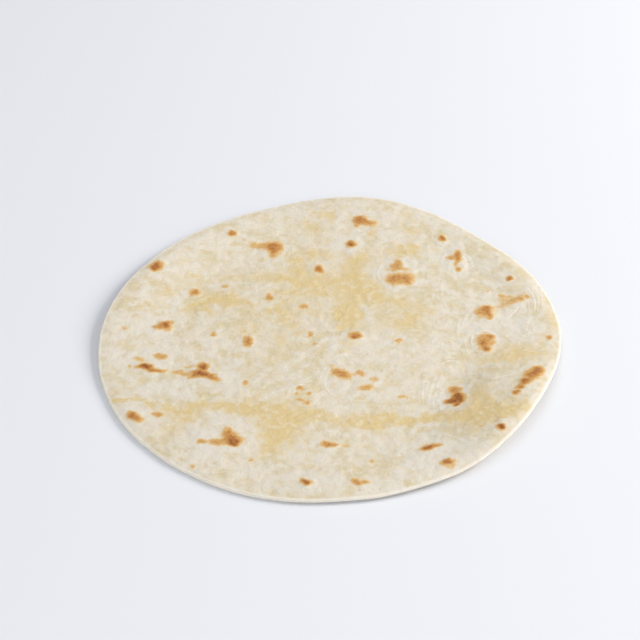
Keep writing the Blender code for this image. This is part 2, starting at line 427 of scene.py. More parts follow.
# %% Toasted spots
VISIBLE = 0.3  # the value of a field from which it counts as showing
BENT_X = ((0.3, 7, 11), (0.08, 3.2, 12))
BENT_Y = ((0.3, 7, 13), (0.08, 3.2, 14))
TOAST = (  # x and y as seen, half length, half width, turn in degrees, strength
    # back left
    (-46.1, 74, 1.9, 1.9, 0, 0.8), (-26.3, 63.2, 4.1, 4.1, 0, 0.8), (-34.3, 65, 4.3, 2.4, 0, 0.44),
    (-40, 69, 2, 1, -30, 0.3), (-26, 58, 2.8, 2.6, 0, 0.5), (-80.7, 49.1, 3.4, 2.6, 55, 0.92),
    (-62.1, 30.7, 2.4, 2.2, 0, 0.75), (-48, 35, 1.6, 1.5, 0, 0.62), (-27.8, 29.5, 1.4, 1.4, 0, 0.5),
    (-27.2, 26.8, 1.7, 1.7, 0, 0.65), (-11.5, 21, 2.3, 1.5, 0, 0.6), (-4.5, 47.5, 2.2, 2.6, 0, 0.88),
    # back middle
    (11.2, 66, 2.3, 2.8, 0, 0.9), (18, 82.5, 5.2, 2.6, -10, 0.7), (14.5, 85, 1.8, 2.6, 0, 0.68),
    (17, 86.8, 3.2, 0.7, 0, 0.5), (13.3, 80, 1.3, 1.3, 0, 0.5), (20.5, 74.5, 2, 2, 0, 0.25),
    (32, 50, 2.6, 2.4, 0, 0.6), (33, 46.9, 5.6, 1.2, 0, 0.45), (30.1, 40.3, 3.6, 3.8, 0, 0.66),
    (36.1, 40.2, 3.8, 4, 0, 0.66), (33, 53.2, 1.6, 1.8, 0, 0.42),
    # back right
    (54.5, 70.5, 1.6, 2.2, 0, 0.82), (61.8, 58.6, 1.7, 3.4, 0, 0.66), (58.4, 56, 3, 1.6, 0, 0.55),
    (61.4, 54, 1.6, 2.2, 0, 0.6), (60, 50.8, 1.5, 1.8, 0, 0.34), (61.2, 47.1, 1.4, 1.9, 0, 0.68),
    (84.6, 40.8, 1.4, 1.5, 0, 0.8), (73.5, 31.3, 1, 1, 0, 0.4), (71.4, 17, 4.2, 3.6, 0, 0.68),
    (73.5, 20, 2.2, 1.6, 0, 0.55), (73.8, 13.5, 1.6, 1.6, 0, 0.5), (91.8, 27.9, 1.1, 1.4, 0, 0.52),
    (90.6, 30.8, 1.5, 1.8, 0, 0.2), (87.4, 26, 5, 2.6, 28, 0.24), (88.4, 26.2, 1.1, 1.4, 0, 0.36),
    (85.6, 24.6, 1.2, 1.3, 0, 0.36), (82.8, 22.8, 1.1, 1.3, 0, 0.18), (79.8, 28.6, 1.5, 1.5, 0, 0.26),
    (81.4, 25.8, 4.4, 3.5, 20, 0.3), (83.2, 28.2, 1.3, 1, 0, 0.2), (79.2, 20.6, 3.6, 1.9, 12, 0.23),
    # right
    (70.4, -3.1, 3.8, 5.4, 0, 0.66), (73, 1, 1.5, 1, 0, 0.7), (70, -8, 2, 1.1, 0, 0.75),
    (68.8, -4.5, 1, 1.4, 0, 0.6), (31.2, -2, 1.7, 1.4, 0, 0.52), (99, 0.2, 1.3, 1.3, 0, 0.6),
    # middle
    (11.8, 1.2, 3, 2.2, 0, 0.7), (12.3, 0.2, 1.8, 0.9, 0, 0.6), (-8.4, 2.4, 1.5, 1.9, 0, 0.58),
    (-7.2, -4.3, 1.6, 1.3, 0, 0.4), (-36.5, -2.8, 2.4, 3.4, 0, 0.73), (-38, 4.5, 1.2, 1.2, 0, 0.35),
    (-37.5, 10, 1.2, 1.2, 0, 0.3), (-33.5, 8, 1.2, 1.2, 0, 0.3), (-52.2, 2.3, 1.4, 1.4, 0, 0.5),
    (-36.8, -29.4, 1.7, 1.7, 0, 0.6), (-12.8, -33, 1.7, 1.1, 15, 0.6), (-14.3, -36.3, 1, 1, 0, 0.5),
    (-8.7, -36.5, 1, 1, 0, 0.5), (-13, -40.3, 1.5, 0.9, -20, 0.48), (-9.8, -42, 1.7, 1.4, 0, 0.52),
    (-10.1, -37.7, 4, 4.6, 0, 0.09), (5.5, -23.8, 4.8, 2.8, -25, 0.68),
    (13.6, -23.5, 2.1, 1.9, 0, 0.58), (20, -27, 1.7, 1.7, 0, 0.45), (16.2, -32.7, 3.6, 1.8, 10, 0.62),
    (1.5, -18.2, 3, 0.9, 0, 0.35), (32.4, -38.3, 2.5, 0.9, 0, 0.48),
    # left
    (-74.2, 7.4, 3.4, 2.6, 0, 0.86), (-78.5, 7.5, 1.6, 0.9, 0, 0.5), (-72.5, 10.5, 1.4, 1.6, 0, 0.5),
    (-92.5, 7, 1.5, 1.5, 0, 0.3), (-75, -12.3, 3.2, 2, 0, 0.58), (-84.3, -14.2, 2.2, 1.4, -30, 0.45),
    (-88, -18.5, 1.2, 1.2, 0, 0.4), (-81.5, -19.3, 3.5, 1.8, 0, 0.92),
    (-78.5, -21.5, 3, 1.5, -20, 0.75), (-74.5, -21.8, 2.3, 1.2, 0, 0.6),
    (-64.5, -23, 4.8, 1.3, 0, 0.48), (-56, -19.2, 2.3, 2.1, 0, 0.96), (-62, -19.3, 3, 1, 0, 0.38),
    (-56.3, -23.6, 3.4, 2.1, 0, 0.9), (-59.4, -25.3, 2.7, 1.5, 0, 0.66),
    (-51.8, -26, 3.8, 1.5, -20, 0.72),
    # front right
    (55, -33.5, 2.8, 1.9, 0, 0.62), (56.3, -37.8, 2, 1.8, 0, 0.9), (56, -39.5, 2.9, 2.8, 0, 1.0),
    (52.6, -41.3, 2.4, 1.5, 0, 0.97), (55, -43.2, 1.6, 1.2, 0, 0.95), (55.2, -36, 2.3, 1.9, 0, 0.55),
    (91.9, -20.8, 2.5, 2.9, 0, 0.76), (89, -23.8, 4, 3.5, 50, 0.8), (85.6, -28.2, 2.4, 2.2, 0, 0.8),
    (82.7, -31.2, 1.7, 1.6, 0, 0.76), (80.9, -34.6, 1.5, 1.8, 0, 0.78), (72.9, -55.9, 2.1, 1.9, 0, 1.0),
    (64.5, -55.5, 1, 1, 0, 0.45), (41.6, -68.7, 3.6, 1.9, 18, 0.9), (45.8, -67.6, 1.8, 1.2, 0, 0.5),
    (49.6, -77.2, 3, 2.1, 0, 0.86), (17.8, -76.7, 1.5, 1.1, -20, 0.5), (-0.7, -66.8, 2.9, 1.9, 0, 0.73),
    (2, -68, 1.5, 1.1, 0, 0.55), (6.6, -67.9, 2.6, 1.1, 0, 0.35), (-10, -88.5, 2.5, 1.8, -15, 0.93),
    (11, -88.5, 1.8, 1.8, 0, 0.65), (14.5, -88.7, 2.4, 1, 0, 0.55),
    # front left
    (-33, -76.3, 1.1, 1.1, 0, 0.4), (-57.3, -80, 1, 1, 0, 0.4), (-84.2, -50.8, 3.9, 2.2, -38, 0.8),
    (-73.9, -49, 2.1, 1.7, -10, 0.62), (-41, -64.7, 3.9, 3.1, 0, 0.88), (-40.8, -67.2, 2, 1.6, 0, 0.9),
    (-44, -59.7, 2.1, 2.8, 0, 0.62), (-48.7, -66.1, 3.6, 1.7, 0, 0.6), (-54.4, -65.9, 2, 1.2, 0, 0.6),
    (-40.9, -61.4, 2.2, 2, 0, 0.42),
)


def soft_ovals(x, y, ovals, steepness):
    """1 minus the product, over the ovals, of 1 - strength x exp(-ln2 distance^steepness)."""
    bell = np.exp(-math.log(2) * oval_distance(x, y, ovals) ** steepness)
    return 1 - np.prod(1 - ovals[:, 5:] * bell, axis=0)


def covered(field):
    """The share of the points at which a field is over VISIBLE, as a text in per cent."""
    return f"{100 * (field > VISIBLE).mean():.1f} %"


bent_x = x + layered(x, y, BENT_X)
bent_y = y + layered(x, y, BENT_Y)
toast_spots = on_sheet(TOAST)
toast = soft_ovals(bent_x, bent_y, toast_spots, steepness=3)
print(len(TOAST), "ovals of toast cover", covered(toast), "of the face")

# %% [markdown]
# ## Pale rings and clear patches
#
# Round each toasted spot the dough rose, dried and stayed pale. Between the blisters it lay on the
# plate and turned a little glassy, so a yellower tone comes through. Both are broad soft ovals too,
# bent more strongly, because they have no firm outline. Only the narrow ring next to a toasted spot is
# bent just as the spot is.

# %% Pale and clear
RING = 2.4  # how far a pale ring reaches past its toasted spot
RING_STRENGTH = 0.45
LOOSE_X = ((1.6, 17, 21), (0.8, 5, 22))
LOOSE_Y = ((1.2, 17, 23), (0.7, 5, 24))
PALE = (  # wider pale patches: x and y as seen, half length, half width, turn, strength
    (78, 9, 18, 17, 0, 0.8), (-70, 24, 6, 5, 0, 0.9), (-36, 84, 6, 3, 20, 0.5),
    (5, -30, 16, 14, 0, 0.5), (-80, -50, 14, 7, -10, 0.9), (-47, -62, 17, 13, 5, 0.75),
    (53, -38, 8, 11, 0, 0.6), (44, -73, 12, 9, 10, 0.7), (-84, -14, 12, 10, 0, 0.5),
    (-50, -20, 16, 9, 0, 0.7), (92, -24, 5, 9, 0, 0.3), (10, 66, 7, 7, 0, 0.8),
    (33, 45, 11, 12, 0, 0.95), (60, 54, 9, 13, 0, 0.8), (-86, 1, 9, 20, 0, 0.75),
    (20, 88, 16, 5, 0, 0.4), (-60, -84, 14, 5, 28, 0.4), (0, -86, 20, 6, 0, 0.4),
    (62, 76, 10, 6, -40, 0.35), (-14, -16, 12, 9, 0, 0.25), (-72, -35, 12, 5.5, 0, 0.85),
    (-84, 34, 5, 7, 30, 0.6), (-21, -91, 9, 4, 5, 0.6), (33, -85, 9, 5, 5, 0.6), (26, 90, 7, 4, 0, 0.5),
    (40, -60, 9, 4, 0, 0.6), (42, -44, 7, 4, 0, 0.65), (45, 28, 7, 6, 0, 0.4), (-19, -82, 9, 6, 0, 0.5),
    (28, 82, 8, 7, 0, 0.4), (-18, 67, 7, 6, 0, 0.4), (57, -70, 8, 6, 40, 0.4),
)
CLEAR = (  # x and y as seen, half length, half width, turn, strength
    # the seam from the left rim to the front right
    (-90, -39.5, 8, 1.4, -8, 0.75), (-80, -41.5, 8, 1.6, -12, 0.8), (-70, -45, 7, 2, -12, 0.8),
    (-65, -49, 8, 5, 0, 0.8), (-67, -60, 5, 4, 0, 0.4), (-50, -44, 13, 2.6, 0, 0.55),
    (-40, -43, 8, 4, 0, 0.7), (-35, -47, 9, 4.5, 0, 0.75), (-24, -50, 9, 6, 0, 0.75),
    (-13, -40, 8, 4, 0, 0.45), (-35, -38, 7, 3, 0, 0.3), (-69, -57, 4, 5, 0, 0.45),
    (64, -55, 6, 4, 0, 0.4), (-20, -56, 8, 8, 0, 0.7), (-22, -64, 6, 6, 0, 0.65),
    (-26, -71, 7, 3, 0, 0.5), (-10, -49, 8, 4, 0, 0.65), (-2, -51, 7, 4, 0, 0.65),
    (10, -52, 8, 3, 0, 0.7), (20, -53.5, 10, 3.4, 0, 0.75), (32, -52, 12, 3, 0, 0.7),
    (45, -52, 10, 2, 0, 0.6), (60, -48, 12, 5, 0, 0.8), (75, -45, 10, 6, 0, 0.6),
    (68, -45, 8, 8, 0, 0.55), (64, -37, 4.5, 8, 0, 0.5), (65, -14, 4, 5, 0, 0.35),
    # the back
    (-9, 57, 7, 8, 0, 0.55), (-17, 50, 4, 6, 0, 0.5), (-20, 42, 14, 5, 0, 0.55),
    (-5, 38, 12, 5, 0, 0.6), (-8, 17, 7, 5, 0, 0.35), (-2, 30, 7, 4, 0, 0.4), (13, 50, 8, 14, 0, 0.65),
    (15, 33, 9, 9, 0, 0.6), (8.5, 15, 5.2, 9, 0, 0.8), (38, 61, 9, 4, 0, 0.7), (22, 30, 8, 6, 0, 0.5),
    (38, 17, 8, 7, 0, 0.55), (32, 8, 11, 4, 0, 0.45), (-9, 77, 5, 5, 0, 0.5), (-1, 88, 5, 3.5, 0, 0.65),
    (-30, 83, 3, 5, 0, 0.4), (38, 88, 4, 4, 0, 0.4), (38, 77, 5, 3, 0, 0.4), (-10, 93, 2, 1.5, 0, 0.4),
    # the left
    (-76, 30, 4, 7, 0, 0.4), (-84, 22, 5, 1.8, 0, 0.4), (-57, 22, 10, 5, 0, 0.75),
    (-50, 28, 9, 5, 0, 0.6), (-40, 24, 6, 4, 0, 0.5), (-30, 18, 8, 3, 0, 0.5), (-20, 13, 5, 7, 0, 0.45),
    (-68, 38, 3, 3, 0, 0.4), (-60, 38, 4, 4, 0, 0.4), (-44, 43, 6, 4, 0, 0.4), (-20, 29, 8, 6, 0, 0.5),
    # the right, the middle and the front
    (82, -11, 11, 6, 0, 0.66), (83, -27, 6, 5, 0, 0.4), (95, -3, 4, 5, 0, 0.4), (8, -6, 5, 3, 0, 0.3),
    (32, 25, 6, 4, 0, 0.4), (22, -57, 6, 3, 0, 0.4), (8, -26, 9, 3, -15, 0.35), (-37, 5, 8, 6, 0, 0.4),
    (101.5, 12, 2.6, 6.5, 0, 0.6), (15, -82, 8, 2, 0, 0.4), (-12, -80, 6, 1.5, 0, 0.4),
    (-15, 6, 3, 3, 0, 0.35), (-20, -1, 4, 3, 0, 0.35), (-25, -12, 4, 8, 0, 0.35),
)
loose_x = x + layered(x, y, LOOSE_X)
loose_y = y + layered(x, y, LOOSE_Y)
clear = soft_ovals(loose_x, loose_y, on_sheet(CLEAR), steepness=2.6)
pale = soft_ovals(loose_x, loose_y, on_sheet(PALE), steepness=3)
rings = toast_spots + [0, 0, RING, RING, 0, 0]
pale = 1 - (1 - pale) * (1 - RING_STRENGTH * soft_ovals(bent_x, bent_y, rings, steepness=4))
print("clear patches cover", covered(clear), "and pale ones", covered(pale), "of the face")

# %% [markdown]
# ## Creases
#
# Where a blister sank again, its skin wrinkled round it, and the lifted rim drew long creases beside
# it. A crease is part of a circle, and a straight one is part of a very large circle. It is a low,
# thin ridge that fades out at both ends. A point takes the nearest crease of a set. Creases that run
# side by side are in two sets, so that each set has room to go back to nothing between two of its own.

# %% Creases
CREASES = {  # middle of the arc x and y as seen, radius, first and last direction, strength
    "first": (
        # round the large blister at the back and the cluster beside it
        (33.5, 45, 10.6, 120, 240, 0.6), (33.5, 45, 11.4, -60, 60, 0.25), (33, 45, 19, -32, -8, 0.45),
        (62, 53, 8.2, 130, 215, 0.6), (60, 52, 5.8, -45, 60, 0.5), (54.5, 70.5, 4.6, 130, 330, 0.45),
        # left of the two toasted blisters on the right, and towards the right rim
        (92, 4, 31.5, 146, 175, 0.45), (84, -3, 19.6, 160, 196, 0.85), (73, 22, 21.9, -20, 36, 0.95),
        (66, 33, 25, -52, -30, 0.95), (40, 20, 52, -26, 8, 0.5),
        # round the dark spot at the front right
        (110, -40, 64, 158, 184, 0.6), (54.5, -20, 4.8, 30, 170, 0.8), (63, -26, 5, -30, 60, 0.4),
        (82, -44, 24, 84, 122, 0.5), (110, -30, 69, 164, 190, 0.4), (50, -39, 10.2, -30, 14, 0.6),
        # the middle
        (12, -27, 14.2, 128, 236, 0.6), (8, -20, 9, 60, 125, 0.35), (14, -33, 8, 215, 300, 0.4),
        (-11, -37, 6.8, 60, 205, 0.5), (-8.5, -2, 5.6, 120, 240, 0.35), (30, 30, 6, 20, 120, 0.3),
        # the front and the left
        (46, -74, 13.5, 18, 80, 0.5), (-48, -61, 22, 190, 300, 0.25), (74, -57, 5.2, 20, 120, 0.4),
        (-84, -50, 8, 30, 140, 0.3), (-74, 8, 7.4, -60, 40, 0.3), (-27, 63, 8.4, 110, 200, 0.3),
    ),
    "second": (
        (33.5, 45, 12.6, 150, 215, 0.3), (60, 52, 8.2, -40, 50, 0.45), (33, 53, 5.5, 20, 160, 0.45),
        (92, 4, 28.6, 138, 166, 0.95), (92, 4, 33.4, 158, 188, 0.5), (84, -3, 22.4, 168, 205, 0.45),
        (71, -3, 7.6, 60, 150, 0.4), (60, 26, 36.9, -16, 12, 0.6), (62, 18, 30.8, -22, 4, 0.45),
        (110, -40, 61.2, 165, 184, 0.85), (110, -40, 66.4, 160, 176, 0.5), (92, 40, 6.5, -60, 10, 0.4),
        (56, -37, 9, 130, 250, 0.5), (82, -44, 21.5, 96, 116, 0.3), (12, -27, 16.4, 140, 200, 0.35),
        (-11, -37, 6.8, 235, 350, 0.4), (24, 27, 5, 60, 170, 0.3), (-48, -61, 22.5, 40, 130, 0.25),
        (0, -66, 7.4, 20, 110, 0.3), (-58, -22, 13, 70, 120, 0.3), (-30, 62, 12, -50, 20, 0.25),
        (-81, 48, 6.4, -40, 60, 0.3),
    ),
}
CREASE_HALF_WIDTH = 0.8
CREASE_HEIGHT = 0.16
CREASE_REACH = 2.0  # how far beside a crease its strength counts
CREASE_FADE = 2.2  # half a crease's run over the stretch that fades at its end
CREASE_DRIFT = ((0.3, 24, 15),)
FAR_AWAY = 1000.0


def nearest_crease(x, y, rows):
    """For each point the way to the nearest crease, with a sign for its side, and that one's strength.

    The way to an arc is the distance to its middle less its radius, and counts only along the arc. The
    strength falls to 0 at the arc's ends, and from half of CREASE_REACH to the whole of it beside it.
    """
    nearest = np.full_like(x, FAR_AWAY)
    share = np.zeros_like(x)
    spots = on_sheet([row[:2] for row in rows])
    for (middle_x, middle_y), (_, _, bend, first, last, strength) in zip(spots, rows):
        away = np.hypot(x - middle_x, y - middle_y) - bend
        half_run = (last - first) / 2
        turn = turned(np.arctan2(y - middle_y, x - middle_x), first + half_run) / half_run
        closer = (np.abs(away) < np.abs(nearest)) & (np.abs(turn) < 1)
        nearest = np.where(closer, away, nearest)
        share = np.where(closer, strength * smooth_step(CREASE_FADE * (1 - np.abs(turn))), share)
    share *= smooth_step(2 - 2 * np.abs(nearest) / CREASE_REACH)
    return np.clip(nearest, -CREASE_REACH, CREASE_REACH), share


drift = layered(x, y, CREASE_DRIFT)
crease_sets = {name: nearest_crease(x + drift, y - drift, rows) for name, rows in CREASES.items()}
ridges = [share * np.exp(-((away / CREASE_HALF_WIDTH) ** 2)) for away, share in crease_sets.values()]
creases = CREASE_HEIGHT * np.maximum(*ridges)
print(sum(len(rows) for rows in CREASES.values()), "creases, up to", creases.max().round(2), "mm high")

# %% [markdown]
# ## Heights
#
# Now the layers are added up. Long crossing waves in the thickness are what the press left. Each
# toasted spot has a low rise under it, a little wider than the spot, because what stood up met the
# plate. The sheet is thinner at the rim than in the middle. The relief fades out at the rim too, so
# that the rim's own round profile fits on. Creases and other fine relief stand up from the face, and
# the solid model has none of them, so the face is set down to keep them within it.

# %% Heights
THICKNESS = 1.9
RIM_THICKNESS = 1.5
UNEVEN = 0.12  # how high the crossed waves in the thickness are; the slanting one is half as high
WAVE_X, WAVE_Y = 11.0, 14.0  # the crossed waves' lengths over 2 pi
WAVE_SLANT = 17.0  # the slanting wave's length along x over 2 pi
FINE_LAYERS = ((0.035, 8, 31), (0.022, 4, 32))
RISE = 0.12  # how high the dough stands under a toasted spot
RISE_SPREAD = 1.6  # how far that reaches, over the spot's own size
SET_DOWN = 0.14

dough = UNEVEN * np.sin(x / WAVE_X + 0.7) * np.cos(y / WAVE_Y - 0.4)
dough += UNEVEN / 2 * np.sin((x + 2 * y) / WAVE_SLANT)
fine = layered(x, y, FINE_LAYERS)
wider_spots = toast_spots * [1, 1, RISE_SPREAD, RISE_SPREAD, 1, 1]
rise = RISE * soft_ovals(bent_x, bent_y, wider_spots, steepness=2)
upper_z = lift(radius, angle) + RIM_THICKNESS + (THICKNESS - RIM_THICKNESS) * inland
upper_z += inland * (dough + blisters(bent_x, bent_y) + creases + rise + fine - SET_DOWN)
print("the upper face reaches", upper_z.max().round(2), "mm")

# %% [markdown]
# ## The underside
#
# The underside was baked too. Its hollows are where the dough rose off the plate. They lie on the
# spiral that a sunflower's seeds follow, with a turn of the golden angle from each to the next, as in
# the solid model. The upper face's fine relief is on the underside too, but it only reaches up into
# the sheet there, so that nothing sinks into the table.

# %% Underside
HOLLOWS = 34
HOLLOW_CLEAR = 18.0  # none has its middle nearer than this to the sheet's middle
HOLLOW_END = 12.0  # nor nearer than this to the mean edge
HOLLOW_HALF_LENGTH = 6.5
HOLLOW_SLIMNESS = 0.8  # half width over half length
HOLLOW_SIZES = 0.2  # by what share the large ones are larger, and the small ones smaller
HOLLOW_DEPTH = 0.4
GOLDEN_TURN = math.pi * (3 - math.sqrt(5))
FINE_IN = 0.03  # how far up into the sheet the middle of the fine relief lies
FINE_DEEPEST = 0.2

number = np.arange(HOLLOWS)
spiral_share = (number + 0.5) / HOLLOWS
spiral_end = MEAN_RADIUS - HOLLOW_END
spiral_radius = np.sqrt(HOLLOW_CLEAR**2 + spiral_share * (spiral_end**2 - HOLLOW_CLEAR**2))
spiral_angle = number * GOLDEN_TURN
hollow_length = HOLLOW_HALF_LENGTH * (1 + HOLLOW_SIZES * (number % 3 - 1))
hollow_ovals = np.column_stack(
    [
        spiral_radius * np.cos(spiral_angle),
        spiral_radius * np.sin(spiral_angle),
        hollow_length,
        HOLLOW_SLIMNESS * hollow_length,
        np.degrees(spiral_angle),
    ]
)
hollows = HOLLOW_DEPTH * smooth_step(1 - oval_distance(x, y, hollow_ovals) ** 2).max(axis=0)
lower_z = lift(radius, angle) + inland * (hollows + np.clip(FINE_IN + fine, 0, FINE_DEEPEST))
print("the underside lies between", lower_z.min().round(2), "and", lower_z.max().round(2), "mm")

# %% [markdown]
# ## Marks on the underside
#
# The underside's marks are strewn by chance, a little more thinly than on the upper face. Each is an
# oval with a random place, size, turn and strength. The square root in the distance from the middle
# spreads them evenly, because there is more room further out. The hollows stayed paler, and clear
# patches lie between them in broad clouds.

# %% Underside's marks
UNDER_SPOTS = 70
UNDER_REACH = 96  # how far from the middle they lie at most
UNDER_HALF_LENGTHS = (1.0, 4.2)
UNDER_SLIMNESS = (0.5, 1.0)
UNDER_STRENGTHS = (0.35, 0.95)
CLOUD_MIDDLE = 0.35
CLOUD_LAYERS = ((0.45, 26, 42),)
CLOUD_STRENGTH = 0.6

draw = np.random.default_rng(41)
spot_radius = UNDER_REACH * np.sqrt(draw.uniform(0, 1, UNDER_SPOTS))
spot_angle = draw.uniform(0, 2 * math.pi, UNDER_SPOTS)
spot_length = draw.uniform(*UNDER_HALF_LENGTHS, UNDER_SPOTS)
under_spots = np.column_stack(
    [
        spot_radius * np.cos(spot_angle),
        spot_radius * np.sin(spot_angle),
        spot_length,
        spot_length * draw.uniform(*UNDER_SLIMNESS, UNDER_SPOTS),
        draw.uniform(0, 180, UNDER_SPOTS),
        draw.uniform(*UNDER_STRENGTHS, UNDER_SPOTS),
    ]
)
under_toast = soft_ovals(bent_x, bent_y, under_spots, steepness=3)
under_pale = np.clip(hollows / HOLLOW_DEPTH, 0, 1)
clouds = smooth_step(CLOUD_MIDDLE + layered(x, y, CLOUD_LAYERS))
under_clear = clouds * (1 - under_pale) * CLOUD_STRENGTH
print(UNDER_SPOTS, "marks cover", covered(under_toast), "of the underside")

# %% [markdown]
# ## One closed mesh
#
# The grids' outermost points go round the sheet in order. A strip of five rings between them makes the
# round edge: half an ellipse that stands out from both faces. The underside's cells are wound the
# other way, so that every face looks outward.

# %% Rim and faces
RIM_RINGS = 5
SIDE = CELLS + 1


def grid_quads(start, looks_down):
    """The four corners of every cell, from the index of a face's first point."""
    corner = (start + np.arange(CELLS)[:, None] * SIDE + np.arange(CELLS)).ravel()
    quads = np.column_stack([corner, corner + 1, corner + SIDE + 1, corner + SIDE])
    return quads[:, ::-1] if looks_down else quads


index = np.arange(SIDE * SIDE).reshape(SIDE, SIDE)
outer = np.concatenate([index[0, :-1], index[:-1, -1], index[-1, :0:-1], index[:0:-1, 0]])
around = angle[outer]
edge = edge_radius(around)
bend = np.linspace(0, math.pi, RIM_RINGS + 2)[1:-1, None]
rim_radius = edge - RIM_ROUND + RIM_ROUND * np.sin(bend)
rim_z = lift(edge, around) + RIM_THICKNESS / 2 * (1 + np.cos(bend))
rim = np.stack([rim_radius * np.cos(around), rim_radius * np.sin(around), rim_z], axis=-1)

points = np.concatenate(
    [np.column_stack([x, y, upper_z]), np.column_stack([x, y, lower_z]), rim.reshape(-1, 3)]
)
points -= [*SHEET_MIDDLE, 0]
first_lower, first_rim = len(x), 2 * len(x)
rings = [first_rim + k * len(outer) + np.arange(len(outer)) for k in range(RIM_RINGS)]
bands = [outer, *rings, first_lower + outer]
strips = [
    np.column_stack([above, below, np.roll(below, -1), np.roll(above, -1)])
    for above, below in zip(bands[:-1], bands[1:])
]
quads = np.concatenate([grid_quads(0, False), grid_quads(first_lower, True), *strips])
print(len(points), "points,", 2 * len(quads), "triangles")

# %% [markdown]
# ## The object, and its marks as attributes
#
# The fields go into the mesh as attributes, one number for each point. The shader reads them by
# name. On the rim each field runs from the upper face's value to the underside's.

# %% Object
sheet_mesh = bpy.data.meshes.new("griddled_sheet")
sheet_mesh.from_pydata((points * MM).tolist(), [], quads.tolist())
sheet_mesh.shade_smooth()


def add_attribute(name, above, below):
    """One number for each point: the upper face's, the underside's, then the rim's, between the two."""
    share = np.linspace(0, 1, RIM_RINGS + 2)[1:-1, None]
    rim_values = (1 - share) * above[outer] + share * below[outer]
    values = np.concatenate([above, below, rim_values.ravel()]).astype(np.float32)
    attribute = sheet_mesh.attributes.new(name, "FLOAT", "POINT")
    attribute.data.foreach_set("value", values)


add_attribute("toast", toast, under_toast)
add_attribute("pale", pale, under_pale)
add_attribute("clear", clear, under_clear)
add_attribute("dried_edge_and_highlight", dried_edge_and_highlight, dried_edge_and_highlight)
for name, (away, share) in crease_sets.items():
    add_attribute(name + "_crease_away", away, away)
    add_attribute(name + "_crease_share", share, np.zeros_like(share))
sheet = bpy.data.objects.new("griddled_sheet", sheet_mesh)
bpy.context.scene.collection.objects.link(sheet)
print("attributes:", [a.name for a in sheet_mesh.attributes if a.data_type == "FLOAT"])

# %% [markdown]
# ## Nodes, a few at a time
#
# A material is a net of nodes. This helper adds one node, sets its settings and its unlinked inputs,
# and links the others. What it gives back is the node, so that its outputs can go into the next. An
# input has its name, or its number where a kind of node has several inputs of one name.

# %% Node helper
dough_skin = bpy.data.materials.new("wheat dough, pressed and dry-griddled")
dough_skin.use_nodes = True
tree = dough_skin.node_tree
shader = tree.nodes["Principled BSDF"]


def add_node(kind, inputs=None, **settings):
    """A node of a kind. An input's value is an output to link from, or else a constant."""
    node = tree.nodes.new(kind)
    for name, value in settings.items():
        setattr(node, name, value)
    for name, value in (inputs or {}).items():
        if isinstance(value, bpy.types.NodeSocket):
            tree.links.new(value, node.inputs[name])
        else:
            node.inputs[name].default_value = value
    return node


place = add_node("ShaderNodeTexCoord").outputs["Object"]
print("the material is", dough_skin.name)

# %% [markdown]
# ## Patterns in the dough
#
# Noises of several sizes give the dough its life: broad warm and cool areas of about two centimetres,
# mottling of a few millimetres, crumb, flecks, a floury grain, and the fine wrinkles of a skin that sank.
# A noise's scale is one over its size in metres. The pattern is drawn out a little along X, as the
# dough was, so Y is scaled up.

# %% Patterns
PATTERNS = {  # size in millimetres, how many finer layers, how rough those are, and the kind of noise
    "broad": (16.0, 3.0, 0.65, "FBM"),
    "mottle": (5.5, 2.0, 0.45, "FBM"),
    "crumb": (3.0, 1.5, 0.45, "FBM"),
    "fleck": (1.6, 2.0, 0.6, "FBM"),
    "grain": (1.0, 3.0, 0.65, "FBM"),
    "wrinkle": (5.5, 2.0, 0.5, "RIDGED_MULTIFRACTAL"),
}
DRAWN_OUT = 1.2

drawn = add_node("ShaderNodeMapping", {"Vector": place, "Scale": (1.0, DRAWN_OUT, 1.0)}).outputs[0]
patterns = {}
for name, (size, detail, roughness, noise_type) in PATTERNS.items():
    noise = add_node(
        "ShaderNodeTexNoise",
        {"Vector": drawn, "Scale": 1 / (size * MM), "Detail": detail, "Roughness": roughness},
        noise_type=noise_type,
    )
    patterns[name] = noise.outputs["Fac"]
print("patterns:", {name: row[0] for name, row in PATTERNS.items()}, "mm")

# %% [markdown]
# ## The colours of the dough
#
# The colours are laid over each other like thin washes of paint. Plain dough comes first, in broad and
# fine clouds. Then come the clear patches, the crumb that shows white on them, and the pale rings,
# because a blister that rose stayed dry, whatever lay round it. Last is the thin edge, the palest of
# all: dough that dried through, and a painted highlight along the rim. Each wash takes a stretch of
# values: it starts at one value, is full at another, and covers what is below it by a share. Where the
# start is the higher value, the wash lies in the pattern's dips.
#
# A field in the mesh only says roughly where a patch is. The mottling is added to it before the soft
# step, so that the patch gets the torn outline of real dough.

# %% Washes
WASHES = (  # pattern or field, how far mottling tears it, where it starts, is full, its cover, colour
    ("broad", 0, 0.36, 0.6, 1.0, "#E4DAC7"),
    ("mottle", 0, 0.42, 0.74, 0.9, "#EAE4D8"),
    ("mottle", 0, 0.5, 0.26, 0.5, "#DECB9E"),
    ("clear", 1.4, 0.0, 0.74, 0.95, "#E0C892"),
    ("crumb", 0, 0.5, 0.74, 0.35, "#EDE6DA"),
    ("pale", 1.4, 0.12, 0.9, 0.85, "#E6DED0"),
    # the pale edge: dried dough, and a painted highlight along the rim
    ("dried_edge_and_highlight", 0, 0.0, 1.0, 0.8, "#F4EEE2"),
)
PLAIN_DOUGH = "#DBCDAC"

skin = linear(PLAIN_DOUGH)
for name, tear, start, full, cover, tint in WASHES:
    value = patterns.get(name)
    if value is None:
        field = add_node("ShaderNodeAttribute", attribute_name=name).outputs["Fac"]
        torn = {0: patterns["mottle"], 1: tear, 2: field}
        value = add_node("ShaderNodeMath", torn, operation="MULTIPLY_ADD").outputs[0]
    share = add_node(
        "ShaderNodeMapRange",
        {"Value": value, "From Min": start + tear / 2, "From Max": full + tear / 2, "To Max": cover},
        interpolation_type="SMOOTHSTEP",
    )
    skin = add_node(
        "ShaderNodeMix", {0: share.outputs["Result"], 6: skin, 7: linear(tint)}, data_type="RGBA"
    ).outputs[2]
print(len(WASHES), "washes")
